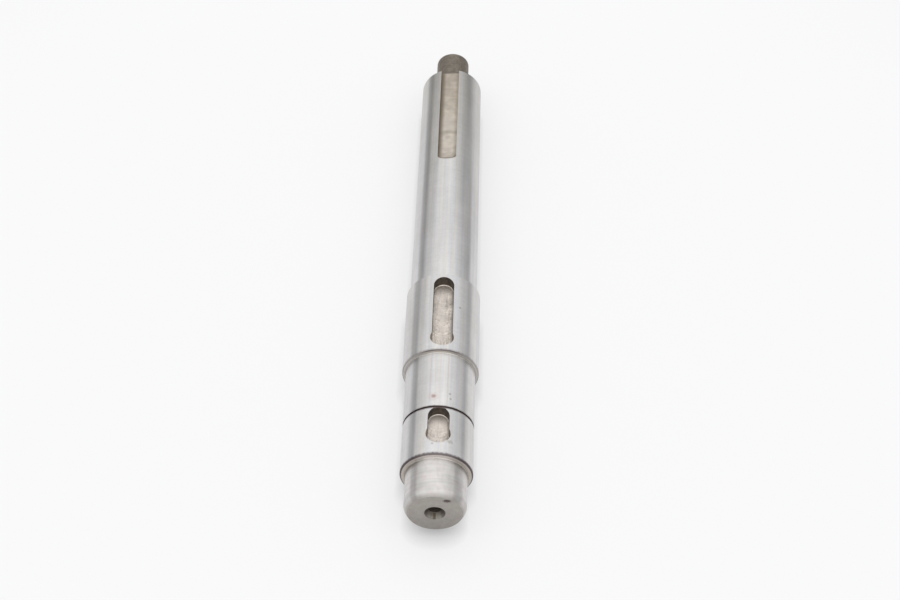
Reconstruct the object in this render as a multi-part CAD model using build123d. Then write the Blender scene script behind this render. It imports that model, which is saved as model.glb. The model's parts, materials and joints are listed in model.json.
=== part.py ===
from build123d import *
import os
from math import cos, radians, sin, tan

# Stepped shaft, turned from one bar. It lies along Y with its keyways up, and its near end,
# with the short journal, points to -Y. The origin is on the axis, midway between the two ends.

# Driving dimensions, in millimetres

# Turned sections, in order from the near end
journal_diameter = 17.0
journal_length = 12.0
near_seat_diameter = 20.0
near_seat_length = 35.75
collar_height = 1.0
collar_length = 30.0
long_seat_diameter = 20.0
long_seat_length = 98.0
spigot_diameter = 11.0
spigot_length = 14.75

# Edges and inside corners of the turned sections. On a low shoulder they are held to a share
# of its height.
journal_edge_drop = 1.0
journal_edge_run = 1.4
journal_edge_radius = 3.0
near_seat_chamfer = 0.4
collar_chamfer = 0.3
long_seat_chamfer = 0.2
spigot_chamfer = 0.3
root_radius = 0.3
largest_share_of_shoulder = 0.45

# Groove round the near seat, between its keyed part and its plain part
groove_width = 0.7
groove_depth = 0.4
groove_from_shoulder = 16.2

# Blind keyways, milled with an end mill that was plunged in at their near ends
key_width = 6.0
keyway_depth = 3.5
keyway_corner_radius = 0.3
plunge_diameter = 6.8
near_keyway_from_shoulder = 3.9
collar_keyway_from_shoulder = 1.9
collar_keyway_from_far_edge = 1.45

# Shallow keyway in the long seat, milled with a disc cutter in from the far end
open_keyway_length = 45.8
open_keyway_depth = 1.8
open_keyway_cutter_diameter = 50.0
open_keyway_turn = 5.0

# Centre holes in both ends
centre_cone_angle = 60.0
drill_point_angle = 118.0
near_centre_mouth = 5.7
near_centre_pilot = 3.8
near_centre_depth = 7.0
far_centre_mouth = 4.2
far_centre_pilot = 2.0
far_centre_depth = 5.0

# Dent in the near end face
dent_length = 1.6
dent_width = 0.9
dent_depth = 0.35
dent_taper = 30.0
dent_from_rim = 1.0
dent_angle = 62.0

# Radii, and places along the axis, that follow from the sizes above
journal_radius = journal_diameter / 2
near_seat_radius = near_seat_diameter / 2
long_seat_radius = long_seat_diameter / 2
collar_radius = max(near_seat_radius, long_seat_radius) + collar_height
spigot_radius = spigot_diameter / 2
seats_length = near_seat_length + collar_length + long_seat_length
near_end = -(journal_length + seats_length + spigot_length) / 2
near_seat_start = near_end + journal_length
collar_start = near_seat_start + near_seat_length
collar_end = collar_start + collar_length
long_seat_end = collar_end + long_seat_length
far_end = long_seat_end + spigot_length
groove_middle = near_seat_start + groove_from_shoulder


def corner(outline, along, radius):
    """The corner of a flat outline that lies nearest to a place in it."""
    return outline.vertices().sort_by_distance((along, radius, 0))[0]


def spun(outline):
    """A flat outline, drawn as distance along the axis and radius, stood up and spun about Y."""
    return revolve(Plane.YZ * outline, Axis.Y)


def turned_sections():
    """The shaft's stepped body, with its edges eased and its inside corners rounded."""
    outline = make_face(
        Polyline(
            (near_end, 0),
            (near_end, journal_radius - journal_edge_drop),
            (near_end + journal_edge_run, journal_radius),
            (near_seat_start, journal_radius),
            (near_seat_start, near_seat_radius),
            (collar_start, near_seat_radius),
            (collar_start, collar_radius),
            (collar_end, collar_radius),
            (collar_end, long_seat_radius),
            (long_seat_end, long_seat_radius),
            (long_seat_end, spigot_radius),
            (far_end, spigot_radius),
            (far_end, 0),
            close=True,
        )
    )
    journal_corner = corner(outline, near_end + journal_edge_run, journal_radius)
    outline = fillet(journal_corner, journal_edge_radius)
    shoulders = [
        (near_seat_start, near_seat_radius, journal_radius, near_seat_chamfer),
        (collar_start, collar_radius, near_seat_radius, collar_chamfer),
        (collar_end, collar_radius, long_seat_radius, collar_chamfer),
        (long_seat_end, long_seat_radius, spigot_radius, long_seat_chamfer),
    ]
    for along, high, low, edge in shoulders:
        largest = (high - low) * largest_share_of_shoulder
        outline = chamfer(corner(outline, along, high), min(edge, largest))
        outline = fillet(corner(outline, along, low), min(root_radius, largest))
    outline = chamfer(corner(outline, far_end, spigot_radius), spigot_chamfer)
    return spun(outline)


def seat_groove():
    """The narrow groove round the near seat."""
    return spun(Pos(groove_middle, near_seat_radius) * Rectangle(groove_width, 2 * groove_depth))


def blind_keyway(radius, near_wall, far_wall):
    """A round-ended keyway in a section, wider where the cutter went in at its near end."""
    floor = Plane.XY.offset(radius - keyway_depth)
    plunge_middle = near_wall + plunge_diameter / 2
    far_middle = far_wall - key_width / 2
    run = far_middle - plunge_middle
    straight = Pos(0, plunge_middle + run / 2) * Rectangle(key_width, run)
    far_round = Pos(0, far_middle) * Circle(key_width / 2)
    plunge = Pos(0, plunge_middle) * Circle(plunge_diameter / 2)
    slot = extrude(floor * (straight + far_round + plunge), 2 * keyway_depth)
    floor_edges = slot.faces().sort_by(Axis.Z)[0].edges()
    return fillet(floor_edges, keyway_corner_radius)


def open_keyway():
    """The shallow keyway whose floor runs out on the cutter's radius at its near end."""
    floor = long_seat_radius - open_keyway_depth
    cutter_radius = open_keyway_cutter_diameter / 2
    drop = cutter_radius - open_keyway_depth
    run_out = (cutter_radius**2 - drop**2) ** 0.5
    cutter_middle = long_seat_end - open_keyway_length + run_out
    disc = Rot(0, 90, 0) * Cylinder(cutter_radius, key_width)
    disc = Pos(0, cutter_middle, floor + cutter_radius) * disc
    run = long_seat_end - cutter_middle
    straight = Box(key_width, run, cutter_radius, align=(Align.CENTER, Align.MIN, Align.MIN))
    cut = disc + Pos(0, cutter_middle, floor) * straight
    return Rot(0, -open_keyway_turn, 0) * cut


def centre_hole(mouth, pilot, depth):
    """A drilled and countersunk centre hole, going up Y from the origin."""
    cone_depth = (mouth - pilot) / 2 / tan(radians(centre_cone_angle / 2))
    point_depth = pilot / 2 / tan(radians(drill_point_angle / 2))
    section = make_face(
        Polyline(
            (0, 0),
            (0, mouth / 2),
            (cone_depth, pilot / 2),
            (depth, pilot / 2),
            (depth + point_depth, 0),
            close=True,
        )
    )
    return spun(section)


def face_dent():
    """A small dent near the upper edge of the near end face."""
    from_axis = journal_radius - journal_edge_drop - dent_from_rim
    across = from_axis * cos(radians(dent_angle))
    up = from_axis * sin(radians(dent_angle))
    face = Plane(origin=(across, near_end, up), x_dir=(1, 0, 0), z_dir=(0, 1, 0))
    return extrude(face * SlotOverall(dent_length, dent_width), dent_depth, taper=dent_taper)


def stepped_shaft():
    """The whole shaft."""
    near_keyway = blind_keyway(
        near_seat_radius,
        near_seat_start + near_keyway_from_shoulder,
        groove_middle,
    )
    collar_keyway = blind_keyway(
        collar_radius,
        collar_start + collar_keyway_from_shoulder,
        collar_end - collar_keyway_from_far_edge,
    )
    near_centre = centre_hole(near_centre_mouth, near_centre_pilot, near_centre_depth)
    far_centre = centre_hole(far_centre_mouth, far_centre_pilot, far_centre_depth)
    shaft = turned_sections() - seat_groove()
    shaft -= near_keyway
    shaft -= collar_keyway
    shaft -= open_keyway()
    shaft -= Pos(0, near_end, 0) * near_centre
    shaft -= Pos(0, far_end, 0) * Rot(0, 0, 180) * far_centre
    shaft -= face_dent()
    return shaft


os.makedirs("parts", exist_ok=True)
export_step(stepped_shaft(), "parts/stepped_shaft.step")
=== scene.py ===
import json
from math import cos, radians, sin, sqrt

import bpy
from mathutils import Matrix, Vector


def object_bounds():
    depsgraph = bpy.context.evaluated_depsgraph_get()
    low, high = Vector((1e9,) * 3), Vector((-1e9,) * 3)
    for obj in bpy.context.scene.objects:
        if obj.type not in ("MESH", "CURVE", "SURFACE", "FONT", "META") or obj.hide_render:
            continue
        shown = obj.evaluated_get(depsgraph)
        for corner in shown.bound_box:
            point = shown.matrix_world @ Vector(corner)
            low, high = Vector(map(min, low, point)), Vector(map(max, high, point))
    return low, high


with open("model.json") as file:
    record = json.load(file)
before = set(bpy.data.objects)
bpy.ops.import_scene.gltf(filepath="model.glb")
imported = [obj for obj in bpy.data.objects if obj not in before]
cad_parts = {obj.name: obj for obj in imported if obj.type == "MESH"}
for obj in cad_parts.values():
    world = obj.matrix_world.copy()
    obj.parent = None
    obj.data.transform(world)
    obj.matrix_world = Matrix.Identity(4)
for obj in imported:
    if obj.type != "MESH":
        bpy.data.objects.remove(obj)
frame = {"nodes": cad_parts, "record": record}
cad_low, cad_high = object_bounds()
scene = bpy.context.scene

# The shaft's own places and sizes, read from the frame. Materials work in millimetres.
MM = 1000.0
mounts = {mount["name"]: mount for mount in frame["record"]["mounts"]}


def along(name):
    """How far along the axis a mount lies."""
    return mounts[name]["pos_m"][1] * MM


def size(name, dimension):
    return mounts[name]["dims"][dimension]


near_end = cad_low[1] * MM
far_end = cad_high[1] * MM
seat_start = along("near_seat_shoulder")
collar_start = along("collar_near_shoulder")
collar_end = along("collar_far_shoulder")
seat_end = along("spigot_shoulder")
journal_radius = size("near_journal", "r_mm")
seat_radius = size("near_plain_seat", "r_mm")
collar_radius = size("collar_seat", "r_mm")
sections = (
    (near_end, journal_radius),
    (seat_start, seat_radius),
    (collar_start, collar_radius),
    (collar_end, size("long_seat", "r_mm")),
    (seat_end, size("spigot", "r_mm")),
)

# Sizes of the small features
key_half_width = 3.0
plunge_radius = 3.4
groove_middle = seat_start + 16.2
groove_width = 0.7
groove_depth = 0.4
root_reach = 0.4
edge_width = 0.45
hole_mouth_radius = 2.85
hole_pilot_radius = 1.9
hole_depth = 8.5
far_hole_radius = 1.6
dent_place = (3.05, near_end, 5.73)
dent_radius = 0.75
dent_stretch = (0.85, 1.0, 1.3)

# Where finishes start: before the next section's shoulder, and above the axis for the keyways'
shoulder_lead = 0.005
keyway_level = (4.0, 4.5)


def on_top(x, y, radius):
    """The place on the upper side of a section that lies over x and y."""
    return (x, y, sqrt(radius**2 - x**2))


# Camera: where it stands, in metres, and how it is turned
camera_place = Vector((0.0, -0.31633, 0.32098))
camera_pitch = radians(47.086)
camera_yaw = radians(0.374)
camera_roll = radians(2.615)
camera_lens = 58.197
sensor_width = 36.0
nearest_seen = 0.01

# Sky. Its points are a height, as the sine of the angle above the horizon, and a level.
sky = (
    (0.0, 0.74),
    (0.25, 0.8),
    (0.45, 0.88),
    (0.55, 0.875),
    (0.64, 1.03),
    (0.72, 1.14),
    (0.85, 1.16),
)
sky_lean = -0.06
back_range = (0.6, 0.8)
back_levels = (1.08, 0.94)

# Dark cards in the corners of the studio, placed by the parts of a direction
card_x = (0.22, 0.4)
card_y = (0.15, 0.5)
card_top = 0.27
card_softness = (-0.2, 0.12)
card_slope = 1.1
card_middle = 0.69
card_level = 0.04

# Floor: lengths in metres
floor_half = 3.0
floor_matt = (0.9, 0.9, 0.905)
floor_colour = (0.955, 0.955, 0.965)
floor_glow = 0.6
glow_range = (0.16, 0.6)
glow_levels = (1.0, 0.7)
contact_reach = 0.006
black = (0.0, 0.0, 0.0)
white = (1.0, 1.0, 1.0)

# Steel: how much its highlights stretch, and their turn as a share of a full circle
highlight_stretch = 0.35
highlight_turn = 0.25
warm_steel = (0.675, 0.655, 0.63)
cool_steel = (0.65, 0.655, 0.67)
long_seat_tint = (0.905, 0.895, 0.865)
journal_grey = (0.645, 0.632, 0.612)
journal_warm = (0.66, 0.61, 0.6)
spigot_dull = (0.232, 0.205, 0.172)
end_grey = (0.39, 0.372, 0.34)
end_warm = (0.4, 0.34, 0.325)

# Painted reflections: strips that are a little darker than the rest of their section, standing in for
# dark reflections. Each has its start, its end and how soft its edges are, told from -1 at the left side
# of the shaft, past 0 on top, to 1 at the right side.
left_painted_reflection = (-0.79, -0.63, 0.05)
near_right_painted_reflection = (0.65, 0.76, 0.05)
far_right_painted_reflection = (0.47, 0.63, 0.06)
journal_left_painted_reflection = (-0.8, -0.62, 0.05)
journal_right_painted_reflection = (0.56, 0.84, 0.06)

# Strips told in millimetres from the shaft's middle: one darker, on the right, a painted reflection, and
# two brighter, painted highlights
long_seat_painted_reflection = (2.1, 5.0, 0.6)
near_seat_painted_highlight = (0.6, 1.8, 0.7)
collar_painted_highlight = (3.6, 5.2, 0.8)

# Shoulders, edges and the groove. The pairs are a near shoulder's lit top and shaded sides, painted light
# and shade.
seat_shoulder = ((0.86, 0.8, 0.765), (0.62, 0.58, 0.53))
collar_shoulder = ((0.7, 0.65, 0.59), (0.68, 0.655, 0.62))
# Painted shade at the foot of a shoulder's face
shoulder_foot_shade = (0.33, 0.31, 0.28)
far_shoulder_steel = (0.52, 0.49, 0.45)
edge_dark = (0.125, 0.1, 0.105)
groove_dark = (0.19, 0.155, 0.15)

# Blind keyways
key_floor = (0.585, 0.535, 0.485)
key_floor_middle = (0.66, 0.61, 0.56)
# A lighter floor laid round the far end and before the far wall: painted light
painted_light_floor = (0.9, 0.83, 0.75)
key_wall = (0.155, 0.132, 0.112)
key_mouth = (0.52, 0.465, 0.41)

# Open keyway
open_floor_near = (0.59, 0.54, 0.475)
open_floor_far = (0.46, 0.405, 0.345)
open_floor_light = (0.56, 0.52, 0.47)
# Soil and painted shade along the side walls' feet
open_left_soil_and_shade = (0.2, 0.165, 0.12)
open_right_soil_and_shade = (0.26, 0.215, 0.16)
open_end_soil = (0.3, 0.25, 0.2)
open_corner_soil = (0.25, 0.205, 0.15)
open_right_wall = (0.5, 0.45, 0.38)

# How far from the open keyway's near end its light patch lies, and its bowed stain
light_patch = 19.5
bowed_stain = 15.3

# Centre holes and the dent. The cone's upper half, the pilot hole and the far hole are painted dark as
# painted shade.
hole_cone = (0.235, 0.21, 0.185)
hole_cone_shade = (0.1, 0.085, 0.075)
hole_streak = (0.085, 0.065, 0.035)
pilot_shade = (0.25, 0.215, 0.19)
far_hole_shade = (0.09, 0.078, 0.065)
dent_rim = (0.2, 0.165, 0.16)
dent_dark = (0.195, 0.16, 0.155)

# Soil, rust, scuffs and burrs. The olive soil also serves as painted shade in the corners before the near
# shoulders.
olive_soil_and_shade = (0.17, 0.15, 0.115)
dark_speck = (0.2, 0.17, 0.15)
rust = (0.33, 0.2, 0.17)
rust_halo = (0.6, 0.44, 0.42)
scuff = (0.6, 0.53, 0.5)
burr = (0.35, 0.3, 0.25)
rust_place = on_top(-1.65, -63.35, seat_radius)
burr_place = on_top(3.3, -78.6, seat_radius)

# Scuffed lines along the near seat: x, half the width and how strong each is
scuffs = ((-2.75, 0.3, 0.55), (2.2, 0.25, 0.45), (-0.1, 0.2, 0.25))

# Dark specks: the place, the radius and how strong each is
specks = (
    (on_top(2.84, -62.2, seat_radius), 0.45, 0.4),
    (on_top(3.08, -63.9, seat_radius), 0.4, 0.45),
    (on_top(4.9, -30.0, collar_radius), 0.4, 0.4),
    (on_top(-1.5, -79.6, seat_radius), 0.4, 0.35),
)


def make_camera():
    data = bpy.data.cameras.new("camera")
    data.lens = camera_lens
    data.sensor_width = sensor_width
    data.clip_start = nearest_seen
    level_ahead = Vector((sin(camera_yaw), cos(camera_yaw), 0.0))
    ahead = level_ahead * cos(camera_pitch) - Vector((0.0, 0.0, sin(camera_pitch)))
    level = Vector((cos(camera_yaw), -sin(camera_yaw), 0.0))
    right = Matrix.Rotation(-camera_roll, 3, ahead) @ level
    up = right.cross(ahead)
    turn = Matrix((right, up, -ahead)).transposed()
    camera = bpy.data.objects.new("camera", data)
    camera.matrix_world = Matrix.Translation(camera_place) @ turn.to_4x4()
    scene.collection.objects.link(camera)
    scene.camera = camera


def is_colour(value):
    return isinstance(value, tuple) or getattr(value, "type", "") == "RGBA"


class Graph:
    """A node tree, built up from short calls that each return a socket."""

    def __init__(self, owner):
        owner.use_nodes = True
        self.tree = owner.node_tree
        self.tree.nodes.clear()

    def node(self, kind, **settings):
        made = self.tree.nodes.new(kind)
        for name, value in settings.items():
            setattr(made, name, value)
        return made

    def feed(self, socket, value):
        if isinstance(value, bpy.types.NodeSocket):
            self.tree.links.new(value, socket)
        elif isinstance(value, tuple) and socket.type == "RGBA":
            socket.default_value = (*value, 1.0)
        else:
            socket.default_value = value

    def maths(self, operation, *values):
        made = self.node("ShaderNodeMath", operation=operation)
        for socket, value in zip(made.inputs, values):
            self.feed(socket, value)
        return made.outputs[0]

    def vector(self, operation, *values, output="Vector"):
        made = self.node("ShaderNodeVectorMath", operation=operation)
        for socket, value in zip(made.inputs, values):
            self.feed(socket, value)
        return made.outputs[output]

    def parts(self, vector):
        """The three parts of a vector."""
        split = self.node("ShaderNodeSeparateXYZ")
        self.feed(split.inputs[0], vector)
        return split.outputs

    def add(self, first, *others):
        for other in others:
            first = self.maths("ADD", first, other)
        return first

    def times(self, first, *others):
        for other in others:
            first = self.maths("MULTIPLY", first, other)
        return first

    def less(self, value):
        """One minus a value."""
        return self.maths("SUBTRACT", 1.0, value)

    def apart(self, value, other):
        """How far a value is from another, either way."""
        return self.maths("ABSOLUTE", self.maths("SUBTRACT", value, other))

    def positive(self, value):
        """A value, or zero where it is negative."""
        return self.maths("MAXIMUM", value, 0.0)

    def diagonal(self, first, second):
        """The root of the sum of two squares."""
        return self.maths("SQRT", self.add(self.times(first, first), self.times(second, second)))

    def run(self, value, low, high, bottom, top, shape="LINEAR"):
        """Goes from bottom to top as a value goes from low to high, and stays level outside."""
        made = self.node("ShaderNodeMapRange", interpolation_type=shape)
        names = ("Value", "From Min", "From Max", "To Min", "To Max")
        for name, entry in zip(names, (value, low, high, bottom, top)):
            self.feed(made.inputs[name], entry)
        return made.outputs[0]

    def rise(self, value, low, high, bottom=0.0, top=1.0):
        """A smooth step from bottom to top as a value goes from low to high."""
        return self.run(value, low, high, bottom, top, "SMOOTHSTEP")

    def fall(self, value, low, high):
        """A smooth step from one to zero as a value goes from low to high."""
        return self.rise(value, low, high, 1.0, 0.0)

    def band(self, value, low, high, soft):
        """One between low and high, and zero outside, with soft edges."""
        start = self.rise(value, low - soft, low + soft)
        return self.times(start, self.fall(value, high - soft, high + soft))

    def blend(self, share, first, second):
        """The first number or colour, turning to the second with the share."""
        colours = is_colour(first) or is_colour(second)
        made = self.node("ShaderNodeMix", data_type="RGBA" if colours else "FLOAT")
        self.feed(made.inputs["Factor"], share)
        ports = (6, 7) if colours else (2, 3)
        self.feed(made.inputs[ports[0]], first)
        self.feed(made.inputs[ports[1]], second)
        return made.outputs[2 if colours else 0]

    def scaled(self, colour, factor):
        """A colour times a number or another colour."""
        made = self.node("ShaderNodeMix", data_type="RGBA", blend_type="MULTIPLY")
        made.inputs["Factor"].default_value = 1.0
        self.feed(made.inputs[6], colour)
        self.feed(made.inputs[7], factor)
        return made.outputs[2]

    def curve(self, value, points):
        """Straight runs between points, each a place from 0 to 1 and a grey level there."""
        made = self.node("ShaderNodeValToRGB")
        self.feed(made.inputs[0], value)
        steps = made.color_ramp.elements
        while len(steps) < len(points):
            steps.new(1.0)
        for step, (at, level) in zip(steps, points):
            step.position = at
            step.color = (level, level, level, 1.0)
        return made.outputs[0]


class Surface(Graph):
    """The steel's node tree, with the place of the surface and the finish laid on it so far."""

    def __init__(self, owner):
        super().__init__(owner)
        coordinates = self.node("ShaderNodeTexCoord").outputs["Object"]
        self.place = self.vector("MULTIPLY", coordinates, (MM, MM, MM))
        self.x, self.y, self.z = self.parts(self.place)
        normal = self.node("ShaderNodeNewGeometry").outputs["Normal"]
        self.normal_x, normal_y, self.normal_z = self.parts(normal)
        self.axial = self.maths("ABSOLUTE", normal_y)
        self.off_centre = self.maths("ABSOLUTE", self.x)
        self.from_axis = self.diagonal(self.x, self.z)
        # From -1 at the left side of the shaft, past 0 on top, to 1 at the right side
        self.side = self.maths("DIVIDE", self.x, self.from_axis)
        self.depth = self.maths("SUBTRACT", self.section_radius(), self.from_axis)
        self.colour = warm_steel
        self.roughness = 0.36
        self.height = 0.0

    def section_radius(self):
        """The radius of the turned section that each place belongs to."""
        total = journal_radius
        for (start, radius), (_, before) in zip(sections[1:], sections):
            past = self.maths("GREATER_THAN", self.y, start - shoulder_lead)
            total = self.add(total, self.times(past, radius - before))
        return total

    def noise(self, scale, stretch=(1.0, 1.0, 1.0), detail=2.0):
        made = self.node("ShaderNodeTexNoise", noise_dimensions="3D")
        self.feed(made.inputs["Vector"], self.vector("MULTIPLY", self.place, stretch))
        made.inputs["Scale"].default_value = scale
        made.inputs["Detail"].default_value = detail
        return made.outputs["Fac"]

    def streaks(self, scale, along_axis, detail=2.0):
        """Noise drawn out along the axis, where it keeps this share of its scale."""
        return self.noise(scale, (1.0, along_axis, 1.0), detail)

    def rings(self, scale, across_axis, detail=2.0):
        """Noise drawn out across the axis, where it keeps this share of its scale."""
        return self.noise(scale, (across_axis, 1.0, across_axis), detail)

    def lines(self, value, scale, detail=2.0):
        """Noise that follows one value only."""
        made = self.node("ShaderNodeTexNoise", noise_dimensions="1D")
        self.feed(made.inputs["W"], value)
        made.inputs["Scale"].default_value = scale
        made.inputs["Detail"].default_value = detail
        return made.outputs["Fac"]

    def vary(self, noise, amount):
        """A factor that follows a noise, and stays within an amount of one."""
        return self.run(noise, 0.25, 0.75, 1 - amount, 1 + amount)

    def in_keyway(self, across, half_width, soft):
        """One below the turned surface, on the shaft's upper side and within a keyway's width."""
        within = self.fall(self.maths("ABSOLUTE", across), half_width, half_width + soft)
        return self.times(within, self.rise(self.z, *keyway_level), self.rise(self.depth, 0.03, 0.08))

    def spot(self, centre, radius, stretch=(1.0, 1.0, 1.0), ragged=0.35):
        """One inside a ragged round spot about a centre."""
        offset = self.vector("MULTIPLY", self.vector("SUBTRACT", self.place, centre), stretch)
        distance = self.vector("LENGTH", offset, output="Value")
        wander = self.times(self.add(self.noise(1.6), -0.5), 2 * ragged * radius)
        return self.fall(self.add(distance, wander), 0.6 * radius, 1.2 * radius)

    def lay(self, share, colour=None, roughness=None, height=None):
        """Lays a finish over the ones before it, where its share is one."""
        if colour is not None:
            self.colour = self.blend(share, self.colour, colour)
        if roughness is not None:
            self.roughness = self.blend(share, self.roughness, roughness)
        if height is not None:
            self.height = self.blend(share, self.height, height)

    def tint(self, factor):
        self.colour = self.scaled(self.colour, factor)

    def dull(self, loss, *zones):
        """Takes a share of the brightness away where all the zones are one."""
        self.tint(self.less(self.times(loss, *zones)))

    def brighten(self, gain, *zones):
        """Adds a share to the brightness where all the zones are one."""
        self.tint(self.add(self.times(gain, *zones), 1.0))


def ground_sections(s):
    """Ground cylinders: turning rings, axial streaks, soft mottling and a few dark flecks."""
    s.colour = s.blend(s.rise(s.streaks(1.3, 0.012, detail=3.0), 0.35, 0.65), warm_steel, cool_steel)
    for noise, amount in (
        (s.streaks(0.9, 0.02), 0.07),
        (s.streaks(2.4, 0.015, detail=1.0), 0.03),
        (s.rings(1.1, 0.25), 0.03),
        (s.noise(1.5, detail=3.0), 0.035),
        (s.streaks(0.16, 0.6, detail=3.0), 0.06),
    ):
        s.tint(s.vary(noise, amount))
    rings = s.rings(3.2, 0.03, detail=3.0)
    scratches = s.streaks(5.0, 0.03)
    s.roughness = s.add(0.33, s.times(rings, 0.08), s.times(scratches, 0.06))
    s.height = s.add(s.times(rings, 0.0012), s.times(scratches, 0.0008))
    # Painted reflections and highlights, as darker and brighter strips along the steel
    painted_reflections(s)
    flecks = s.rise(s.streaks(1.6, 0.6), 0.7, 0.85)
    s.lay(s.times(flecks, 0.35), dark_speck, roughness=0.5)


def painted_reflections(s):
    """Painted reflections and highlights: strips along the ground sections that are a little darker or
    brighter. Also a greyer long seat.
    """
    far_share = s.rise(s.y, collar_end, seat_end)
    s.tint(s.blend(far_share, white, long_seat_tint))
    s.dull(0.3, s.band(s.side, *left_painted_reflection))
    s.dull(0.2, s.band(s.side, *near_right_painted_reflection), s.less(far_share))
    s.dull(0.17, s.band(s.side, *far_right_painted_reflection), far_share)
    s.dull(0.13, s.band(s.x, *long_seat_painted_reflection), s.rise(s.y, -5.0, 20.0))
    s.brighten(0.05, s.band(s.x, *near_seat_painted_highlight), s.fall(s.y, collar_start - 2.0, collar_start))
    on_collar = s.band(s.y, collar_start, collar_end, 0.5)
    s.brighten(0.05, s.band(s.off_centre, *collar_painted_highlight), on_collar)


def journal(s):
    """The near journal: blotches, marks round it, a darker end and painted reflections as darker strips
    on its sides.
    """
    zone = s.fall(s.y, seat_start - 0.05, seat_start)
    marks = s.rings(1.4, 0.1, detail=3.0)
    warm = s.blend(s.rise(s.noise(0.6), 0.45, 0.65), journal_grey, journal_warm)
    s.lay(zone, s.scaled(warm, s.vary(marks, 0.09)))
    s.tint(s.blend(zone, 1.0, s.vary(s.streaks(0.7, 0.5, detail=3.0), 0.09)))
    s.tint(s.rise(s.y, near_end + 0.3, near_end + 3.2, 0.86, 1.0))
    s.lay(s.times(zone, 0.5), height=s.times(marks, 0.0015))
    # Painted reflections: darker strips on the journal's sides
    s.dull(0.22, zone, s.band(s.side, *journal_right_painted_reflection))
    s.dull(0.25, zone, s.band(s.side, *journal_left_painted_reflection))


def blemishes(s):
    """Rust, scuffs, specks and a burr where the ground sections show them."""
    s.lay(s.times(s.spot(rust_place, 1.5), 0.3), rust_halo)
    s.lay(s.times(s.spot(rust_place, 0.65), 0.6), rust, roughness=0.5)
    on_seat = s.band(s.y, groove_middle + 2.0, collar_start - 1.0, 1.5)
    upper = s.rise(s.z, 4.0, 5.0)
    for x, half_width, share in scuffs:
        wander = s.add(s.x, s.times(s.noise(0.35), 0.5))
        line = s.fall(s.apart(wander, x + 0.25), 0.1, half_width)
        s.lay(s.times(line, on_seat, upper, share), scuff)
    for place, radius, share in specks:
        s.lay(s.times(s.spot(place, radius), share), dark_speck, roughness=0.5)
    s.lay(s.times(s.spot(burr_place, 0.6, (0.6, 1.0, 1.0), ragged=0.6), 0.4), burr, roughness=0.5)


def near_shoulder(s, start, low, high, colours, root_shade_share, side_edge):
    """A shoulder that faces the near end: painted shade in the corner before it, its face, painted
    lighter on top and darker at the sides and foot, and its dark edge.
    """
    top, sides = colours
    from_start = s.apart(s.y, start)
    before = s.maths("SUBTRACT", start, s.y)
    low_part = s.fall(s.from_axis, low + root_reach, low + root_reach + 0.1)
    # Painted shade on the lower section, in the corner before the shoulder
    root_shade = s.times(low_part, s.rise(before, -0.02, 0.02), s.fall(before, 0.2, 2.2))
    s.lay(s.times(root_shade, s.rise(s.off_centre, 2.0, 6.5, 0.2, 1.0), root_shade_share), olive_soil_and_shade, roughness=0.45)
    face = s.times(s.rise(s.axial, 0.3, 0.9), s.fall(from_start, 0.4, 0.5))
    # The face painted lighter on top and darker at the sides: painted light and shade
    s.lay(face, s.blend(s.rise(s.off_centre, 3.0, 8.0), top, sides), roughness=0.55)
    # Painted shade at the foot of the face, stronger at the sides
    foot_shade = s.fall(s.from_axis, low + 0.1, low + root_reach + 0.1)
    s.lay(s.times(face, foot_shade, s.rise(s.off_centre, 2.0, 5.0, 0.0, 0.7)), shoulder_foot_shade)
    edge = s.times(
        s.band(s.axial, 0.35, 0.95, 0.05),
        s.fall(from_start, edge_width, edge_width + 0.02),
        s.rise(s.from_axis, high - edge_width - 0.02, high - edge_width),
        s.rise(s.off_centre, 3.5, 7.0, 0.85, side_edge),
    )
    s.lay(edge, edge_dark, roughness=0.45)
    past_edge = s.times(
        s.rise(s.from_axis, high - 0.05, high),
        s.fall(from_start, edge_width, edge_width + 0.55),
        s.rise(s.noise(0.8), 0.3, 0.6, 0.5, 0.9),
        side_edge,
    )
    s.lay(past_edge, edge_dark, roughness=0.45)


def far_shoulders(s):
    """The turned faces that look towards the far end."""
    for start in (collar_end, seat_end):
        face = s.times(s.rise(s.axial, 0.3, 0.9), s.fall(s.apart(s.y, start), 0.25, 0.35))
        turned = s.vary(s.rings(2.6, 0.5, detail=3.0), 0.12)
        s.lay(face, s.scaled(far_shoulder_steel, turned), roughness=0.45)


def groove(s):
    """The ring groove: dark inside, with uneven dark rims."""
    from_middle = s.apart(s.y, groove_middle)
    inside = s.times(
        s.fall(from_middle, groove_width / 2, groove_width / 2 + 0.02),
        s.rise(s.depth, 0.04, 0.1),
        s.fall(s.depth, groove_depth + 0.05, groove_depth + 0.15),
    )
    s.lay(inside, groove_dark, roughness=0.5)
    rims = s.times(
        s.fall(from_middle, groove_width / 2 + 0.1, groove_width / 2 + 0.4),
        s.fall(s.depth, 0.02, 0.04),
        s.rise(s.noise(0.9), 0.3, 0.6, 0.15, 0.5),
    )
    s.lay(rims, edge_dark, roughness=0.45)


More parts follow.
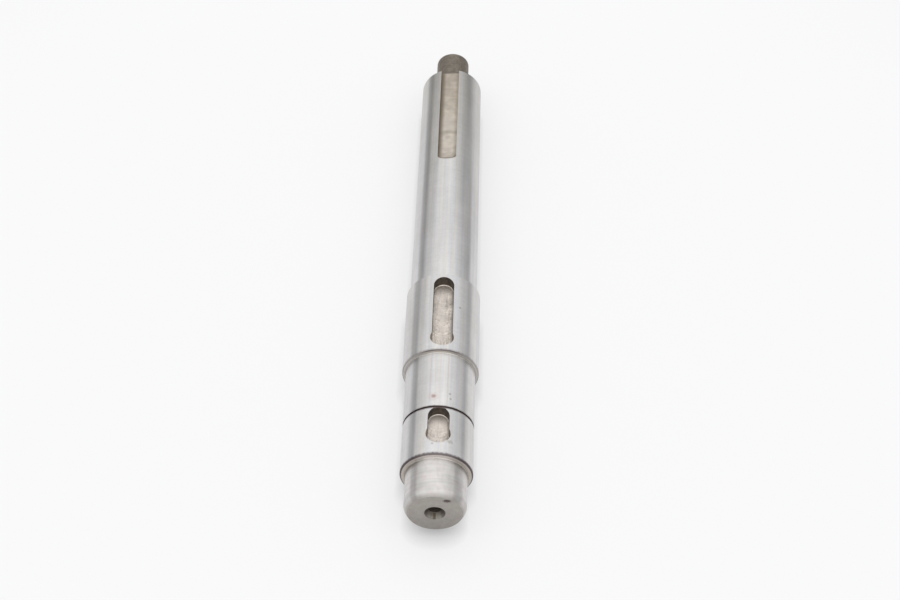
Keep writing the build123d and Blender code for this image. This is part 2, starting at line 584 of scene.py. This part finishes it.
def blind_floor(s, far_middle, ring_light_share, light_share):
    """A blind keyway's milled floor, and its feed marks. Round its far end it is painted lighter, as
    painted light.
    """
    cutter_edge = s.maths("SQRT", s.positive(s.maths("SUBTRACT", key_half_width**2, s.times(s.x, s.x))))
    marks = s.lines(s.add(s.y, cutter_edge), 1.6, detail=3.0)
    floor = key_floor
    for noise, amount in (
        (marks, 0.13),
        (s.streaks(0.55, 0.6, detail=3.0), 0.26),
        (s.streaks(1.9, 0.8, detail=3.0), 0.18),
    ):
        floor = s.scaled(floor, s.vary(noise, amount))
    middle = s.fall(s.apart(s.x, -0.3), 0.2, 2.2)
    floor = s.blend(s.times(middle, 0.5), floor, key_floor_middle)
    scratches = s.rise(s.noise(1.3, stretch=(1.8, 0.1, 1.0)), 0.56, 0.66)
    floor = s.blend(s.times(scratches, 0.3), floor, olive_soil_and_shade)
    pits = s.rise(s.streaks(1.8, 0.6, detail=4.0), 0.58, 0.74)
    floor = s.blend(s.times(pits, 0.55), floor, dark_speck)
    from_round = s.diagonal(s.x, s.positive(s.maths("SUBTRACT", s.y, far_middle)))
    # Painted light: a lighter ring on the floor at the foot of the far round wall
    ring_light = s.times(s.rise(from_round, 0.8, 2.2), s.rise(s.y, far_middle - 0.5, far_middle + 1.2))
    floor = s.blend(s.times(ring_light, ring_light_share), floor, painted_light_floor)
    # Painted light: the floor lighter before the far wall
    light_start = s.rise(s.y, far_middle - 4.5, far_middle - 0.5)
    light = s.times(light_start, s.fall(s.y, far_middle + 0.6, far_middle + 1.8))
    floor = s.blend(s.times(light, light_share), floor, painted_light_floor)
    edges = s.times(s.rise(s.apart(s.x, -0.1), 2.3, 2.9), s.fall(s.y, far_middle, far_middle + 1.0))
    floor = s.blend(s.times(edges, 0.55), floor, olive_soil_and_shade)
    return floor, s.blend(pits, 0.42, 0.6), s.times(marks, 0.008)


def blind_keyway(s, name, ring_light_share, light_share):
    """A blind keyway: its floor, and dark walls that are lighter towards the near end."""
    middle, length = along(name), size(name, "length_mm")
    near, far = middle - length / 2, middle + length / 2
    within = s.in_keyway(s.x, plunge_radius + 0.1, 0.1)
    zone = s.times(s.band(s.y, near - 0.15, far + 0.15, 0.05), within)
    s.lay(zone, *blind_floor(s, far - key_half_width, ring_light_share, light_share))
    walls = s.scaled(key_wall, s.vary(s.noise(1.1, stretch=(1.0, 1.0, 0.4), detail=3.0), 0.4))
    mouth = s.fall(s.y, near + 0.25 * length, near + 0.8 * length)
    from_left = s.rise(s.x, -key_half_width, key_half_width, 0.95, 0.6)
    walls = s.blend(s.times(mouth, from_left), walls, key_mouth)
    s.lay(s.times(zone, s.fall(s.normal_z, 0.35, 0.55)), walls, roughness=0.65)


def open_floor(s, near, length, across):
    """The open keyway's floor: duller towards the far end, with marks across it, and sides darkened by
    soil and painted shade.
    """
    along_key = s.maths("DIVIDE", s.add(s.y, -near), length)
    marks = s.rings(0.9, 0.15, detail=4.0)
    floor = s.blend(s.rise(along_key, 0.1, 1.0), open_floor_near, open_floor_far)
    floor = s.scaled(floor, s.vary(marks, 0.05))
    floor = s.scaled(floor, s.vary(s.noise(0.4, detail=3.0), 0.17))
    lengthways = s.fall(s.apart(s.y, near + light_patch), 1.0, 5.5)
    light = s.times(lengthways, s.fall(s.apart(across, -0.2), 0.3, 2.4))
    floor = s.blend(s.times(light, 0.5), floor, open_floor_light)
    bowed = s.add(s.y, s.times(across, across, 0.08))
    stain = s.fall(s.apart(bowed, near + bowed_stain), 0.0, 1.4)
    floor = s.blend(s.times(stain, 0.25), floor, olive_soil_and_shade)
    # Soil and painted shade along the foot of the left wall, wider towards the far end, and along the
    # right
    from_left = s.add(across, key_half_width)
    left_width = s.add(0.35, s.times(along_key, 0.75))
    left = s.fall(from_left, s.times(left_width, 0.5), 1.9)
    floor = s.blend(s.times(left, 0.85), floor, open_left_soil_and_shade)
    floor = s.blend(s.times(s.rise(across, 1.5, 2.7), 0.45), floor, open_right_soil_and_shade)
    floor = s.blend(s.times(s.fall(s.depth, 0.1, 0.9), 0.3), floor, open_end_soil)
    past_x = s.positive(s.add(s.maths("ABSOLUTE", across), -1.2))
    past_y = s.positive(s.times(s.maths("SUBTRACT", near + key_half_width, s.y), 0.6))
    past = s.diagonal(past_x, past_y)
    corner = s.times(s.rise(past, 1.1, 1.5), s.rise(past_y, 0.0, 0.3))
    floor = s.blend(s.times(corner, 0.8), floor, open_corner_soil)
    return s.blend(s.rise(past, 1.75, 1.95), floor, warm_steel), 0.5, s.times(marks, 0.01)


def open_keyway(s):
    """The shallow keyway that runs out at the long seat's end, turned a little to one side."""
    name = "open_keyway"
    length = size(name, "length_mm")
    near = seat_end - length
    tilt_x, _, tilt_z = mounts[name]["axis"]
    across = s.maths("SUBTRACT", s.times(s.x, tilt_z), s.times(s.z, tilt_x))
    upright = s.add(s.times(s.normal_x, tilt_x), s.times(s.normal_z, tilt_z))
    before_end = s.maths("LESS_THAN", s.y, seat_end - shoulder_lead)
    within = s.in_keyway(across, key_half_width + 0.02, 0.03)
    zone = s.times(s.rise(s.y, near - 0.3, near - 0.2), before_end, within)
    s.lay(zone, *open_floor(s, near, length, across))
    # The walls: the left one darkened by soil and painted shade
    walls = s.blend(s.rise(across, -1.0, 1.0), open_left_soil_and_shade, open_right_wall)
    s.lay(s.times(zone, s.fall(upright, 0.35, 0.6)), walls, roughness=0.65)


def spigot(s):
    """The dull far spigot, and its centre hole painted dark as painted shade."""
    zone = s.rise(s.y, seat_end + 0.03, seat_end + 0.06)
    marks = s.rings(2.4, 0.1, detail=3.0)
    mottled = s.scaled(spigot_dull, s.vary(s.noise(1.0, detail=3.0), 0.22))
    s.lay(zone, s.scaled(mottled, s.vary(marks, 0.15)), roughness=0.58, height=s.times(marks, 0.012))
    # The far centre hole painted dark: painted shade
    in_hole = s.fall(s.from_axis, far_hole_radius - 0.1, far_hole_radius)
    before_end = s.fall(s.y, far_end - 0.02, far_end - 0.01)
    s.lay(s.times(zone, in_hole, before_end), far_hole_shade, roughness=0.6)


def near_face(s):
    """The near end face and its softened rim: faint turned rings and tints, painted light and shade that
    make the face lighter at the top and darker towards the bottom, and painted shade over the rim's
    highlight.
    """
    at_end = s.fall(s.y, near_end + 1.2, near_end + 1.5)
    flat = s.rise(s.axial, 0.62, 0.99)
    inside_rim = s.fall(s.from_axis, journal_radius - 1.0, journal_radius - 0.3)
    # The face's grey laid part way over the rim: painted shade that dims its highlight
    rim = s.times(s.rise(s.axial, 0.2, 0.5), inside_rim, 0.65)
    zone = s.times(s.maths("MAXIMUM", flat, rim), at_end)
    rings = s.lines(s.from_axis, 3.0)
    grey = s.scaled(end_grey, s.vary(rings, 0.05))
    grey = s.scaled(grey, s.vary(s.noise(0.6, detail=4.0), 0.1))
    blotches = s.rise(s.noise(0.7, detail=1.0), 0.5, 0.65)
    grey = s.blend(s.times(blotches, 0.5), grey, end_warm)
    # Painted light and shade: the face lighter at the top and darker towards the bottom
    grey = s.scaled(grey, s.rise(s.z, -8.0, 6.0, 0.86, 1.03))
    s.lay(zone, grey, roughness=0.48, height=s.times(rings, 0.003))


def dent(s):
    """The dent in the near end face, painted dark, and a darker patch round it."""
    around_dent = s.spot(dent_place, dent_radius + 0.35, dent_stretch, ragged=0.1)
    s.lay(s.times(around_dent, 0.55), dent_rim, roughness=0.6)
    s.lay(s.spot(dent_place, dent_radius, dent_stretch, ragged=0.1), dent_dark, roughness=0.6)


def near_hole(s):
    """The near centre hole: a dark cone with painted shade on its upper half and sides, a dark streak
    below, and a pilot hole painted dark as painted shade.
    """
    in_mouth = s.fall(s.from_axis, hole_mouth_radius - 0.02, hole_mouth_radius + 0.02)
    hole = s.times(in_mouth, s.fall(s.y, near_end + hole_depth, near_end + hole_depth + 0.1))
    to_mouth = s.rise(s.from_axis, hole_mouth_radius - 0.7, hole_mouth_radius, 0.0, 0.75)
    cone = s.blend(to_mouth, hole_cone, end_grey)
    s.lay(hole, s.scaled(cone, s.vary(s.noise(1.0), 0.25)), roughness=0.5)
    # Painted shade over the cone's upper half and its sides
    upper = s.times(s.rise(s.z, -1.4, 1.4), 0.65)
    outer = s.times(s.rise(s.off_centre, 1.3, 2.6), 0.5)
    s.lay(s.times(hole, s.maths("MAXIMUM", upper, outer)), hole_cone_shade)
    streak = s.times(s.fall(s.apart(s.x, -0.05), 0.2, 0.55), s.fall(s.z, -0.3, 0.3))
    s.lay(s.times(hole, streak, 0.75), hole_streak, roughness=0.5)
    # The pilot hole painted darker: painted shade
    in_pilot = s.fall(s.from_axis, hole_pilot_radius, hole_pilot_radius + 0.15)
    s.lay(s.times(hole, in_pilot), pilot_shade, roughness=0.6)


def make_steel():
    material = bpy.data.materials.new("steel")
    s = Surface(material)
    ground_sections(s)
    journal(s)
    blemishes(s)
    near_shoulder(s, seat_start, journal_radius, seat_radius, seat_shoulder, 0.6, 1.0)
    near_shoulder(s, collar_start, seat_radius, collar_radius, collar_shoulder, 0.25, 0.5)
    blind_keyway(s, "near_keyway", 0.6, 0.4)
    blind_keyway(s, "collar_keyway", 0.75, 0.3)
    groove(s)
    open_keyway(s)
    far_shoulders(s)
    spigot(s)
    near_face(s)
    dent(s)
    near_hole(s)
    shader = s.node("ShaderNodeBsdfPrincipled")
    s.feed(shader.inputs["Base Color"], s.colour)
    shader.inputs["Metallic"].default_value = 1.0
    s.feed(shader.inputs["Roughness"], s.roughness)
    shader.inputs["Anisotropic"].default_value = highlight_stretch
    shader.inputs["Anisotropic Rotation"].default_value = highlight_turn
    tangent = s.node("ShaderNodeTangent", direction_type="RADIAL", axis="Y")
    s.feed(shader.inputs["Tangent"], tangent.outputs[0])
    bump = s.node("ShaderNodeBump")
    bump.inputs["Distance"].default_value = 1 / MM
    s.feed(bump.inputs["Height"], s.height)
    s.feed(shader.inputs["Normal"], bump.outputs[0])
    s.feed(s.node("ShaderNodeOutputMaterial").inputs["Surface"], shader.outputs[0])
    return material


def seen(graph):
    """One for what the camera sees, straight or in metal or glass."""
    path = graph.node("ShaderNodeLightPath").outputs
    total = graph.add(path["Is Camera Ray"], path["Is Glossy Ray"], path["Is Transmission Ray"])
    return graph.maths("MINIMUM", total, 1.0)


def make_floor():
    """A pale floor that keeps the shaft's soft shadow."""
    half = floor_half
    corners = ((-half, -half), (half, -half), (half, half), (-half, half))
    mesh = bpy.data.meshes.new("floor")
    mesh.from_pydata([(x, y, cad_low[2]) for x, y in corners], [], [(0, 1, 2, 3)])
    floor = bpy.data.objects.new("floor", mesh)
    scene.collection.objects.link(floor)
    material = bpy.data.materials.new("floor")
    graph = Graph(material)
    matt = graph.node("ShaderNodeBsdfDiffuse")
    graph.feed(matt.inputs["Color"], floor_matt)
    glow = graph.node("ShaderNodeEmission")
    coordinates = graph.node("ShaderNodeTexCoord").outputs["Object"]
    from_centre = graph.vector("LENGTH", coordinates, output="Value")
    graph.feed(glow.inputs["Strength"], graph.rise(from_centre, *glow_range, *glow_levels))
    closeness = graph.node("ShaderNodeAmbientOcclusion", samples=16)
    closeness.inputs["Distance"].default_value = contact_reach
    graph.feed(glow.inputs["Color"], graph.blend(closeness.outputs["AO"], black, floor_colour))
    both = graph.node("ShaderNodeMixShader")
    graph.feed(both.inputs[0], graph.times(seen(graph), floor_glow))
    graph.feed(both.inputs[1], matt.outputs[0])
    graph.feed(both.inputs[2], glow.outputs[0])
    graph.feed(graph.node("ShaderNodeOutputMaterial").inputs["Surface"], both.outputs[0])
    mesh.materials.append(material)


def make_world():
    """A pale studio, brighter overhead, with a dark card standing in each of its corners."""
    world = bpy.data.worlds.new("world")
    scene.world = world
    graph = Graph(world)
    direction = graph.parts(graph.node("ShaderNodeTexCoord").outputs["Generated"])
    lean = graph.add(graph.times(direction[0], sky_lean), 1.0)
    x, y, z = (graph.maths("ABSOLUTE", part) for part in direction)
    corner = graph.times(graph.rise(x, *card_x), graph.rise(y, *card_y))
    above_card = graph.add(z, graph.times(graph.add(y, -card_middle), -card_slope), -card_top)
    card = graph.times(corner, graph.fall(above_card, *card_softness))
    back = graph.rise(y, *back_range, *back_levels)
    strength = graph.times(graph.curve(z, sky), lean, back, graph.blend(card, 1.0, card_level))
    background = graph.node("ShaderNodeBackground")
    graph.feed(background.inputs["Color"], white)
    graph.feed(background.inputs["Strength"], strength)
    graph.feed(graph.node("ShaderNodeOutputWorld").inputs["Surface"], background.outputs[0])


scene.view_settings.view_transform = "Standard"
make_camera()
make_world()
make_floor()
shaft = frame["nodes"]["stepped_shaft"]
steel = make_steel()
for slot in shaft.material_slots:
    slot.material = steel
